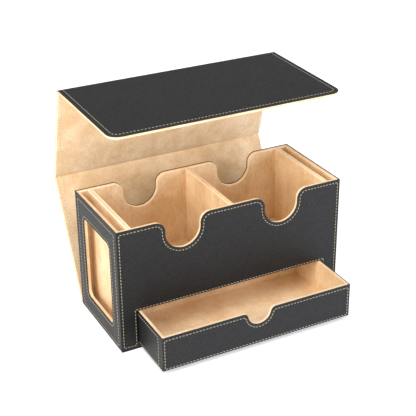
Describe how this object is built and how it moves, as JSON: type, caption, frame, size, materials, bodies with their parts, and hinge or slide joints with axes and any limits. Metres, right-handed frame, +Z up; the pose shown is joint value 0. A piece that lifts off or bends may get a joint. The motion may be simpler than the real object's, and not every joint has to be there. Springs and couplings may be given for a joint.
{
  "type": "card deck box",
  "caption": "Leather-covered card deck box with open deck compartments, windowed display slots in both ends, a pull-out drawer below and a hinged wrap-over cover.",
  "frame": {"origin": "middle of the box's footprint, on the surface it stands on", "axes": "+X to the right along the long side, +Y to the back where the cover is hinged, +Z up"},
  "size_m": [0.24, 0.2145, 0.2218],
  "materials": {
    "black_leather": "fine pebble-grained black leatherette, satin",
    "tan_microsuede": "short-napped sand microsuede, matt",
    "grey_board": "raw pressed board",
    "nickel_magnet": "nickel-plated",
    "khaki_thread": "waxed twisted thread"
  },
  "bodies": {
    "box": {"front_wall_board": "grey_board", "front_wall_leather": "black_leather", "front_wall_lining": "tan_microsuede", "front_wall_magnets": "nickel_magnet", "back_wall_board": "grey_board", "back_wall_leather": "black_leather", "back_wall_lining": "tan_microsuede", "left_end_board": "grey_board", "left_end_leather": "black_leather", "left_end_lining": "tan_microsuede", "right_end_board": "grey_board", "right_end_leather": "black_leather", "right_end_lining": "tan_microsuede", "base_board": "grey_board", "base_leather": "black_leather", "base_lining": "tan_microsuede", "left_partition_board": "grey_board", "left_partition_slot_lining": "tan_microsuede", "left_partition_deck_lining": "tan_microsuede", "right_partition_board": "grey_board", "right_partition_slot_lining": "tan_microsuede", "right_partition_deck_lining": "tan_microsuede", "divider_board": "grey_board", "divider_lining": "tan_microsuede", "deck_floor_board": "grey_board", "deck_floor_lining": "tan_microsuede", "drawer_bay_ceiling_lining": "tan_microsuede"},
    "drawer": {"drawer_front_board": "grey_board", "drawer_back_board": "grey_board", "drawer_left_board": "grey_board", "drawer_right_board": "grey_board", "drawer_bottom_board": "grey_board", "drawer_leather": "black_leather", "drawer_side_lining": "tan_microsuede", "drawer_floor_lining": "tan_microsuede"},
    "back_panel": {"back_panel_board": "grey_board", "back_panel_leather": "black_leather", "back_panel_lining": "tan_microsuede"},
    "top_panel": {"top_panel_board": "grey_board", "top_panel_leather": "black_leather", "top_panel_lining": "tan_microsuede"},
    "flap": {"flap_board": "grey_board", "flap_leather": "black_leather", "flap_lining": "tan_microsuede", "flap_magnets": "nickel_magnet"}
  },
  "joints": [
    {"name": "cover_base_hinge", "type": "hinge", "parent": "box", "child": "back_panel", "pos_m": [0, 0.05375, 0.00045], "axis": [1, 0, 0], "range_deg": [-16, 26]},
    {"name": "rear_crease", "type": "hinge", "parent": "back_panel", "child": "top_panel", "pos_m": [0, 0.11109, 0.11801], "axis": [1, 0, 0], "range_deg": [-29.6, 48]},
    {"name": "front_crease", "type": "hinge", "parent": "top_panel", "child": "flap", "pos_m": [0, 0.08146, 0.22135], "axis": [1, 0, 0], "range_deg": [-75, 15]},
    {"name": "drawer_slide", "type": "slide", "parent": "box", "child": "drawer", "axis": [0, 1, 0], "range_m": [-0.0324, 0.0525]}
  ],
  "couplings": [
    {"joint": "rear_crease", "follows": "cover_base_hinge", "ratio": 1.8461},
    {"joint": "drawer_slide", "follows": "cover_base_hinge", "m_per_rad": 0.11569}
  ]
}
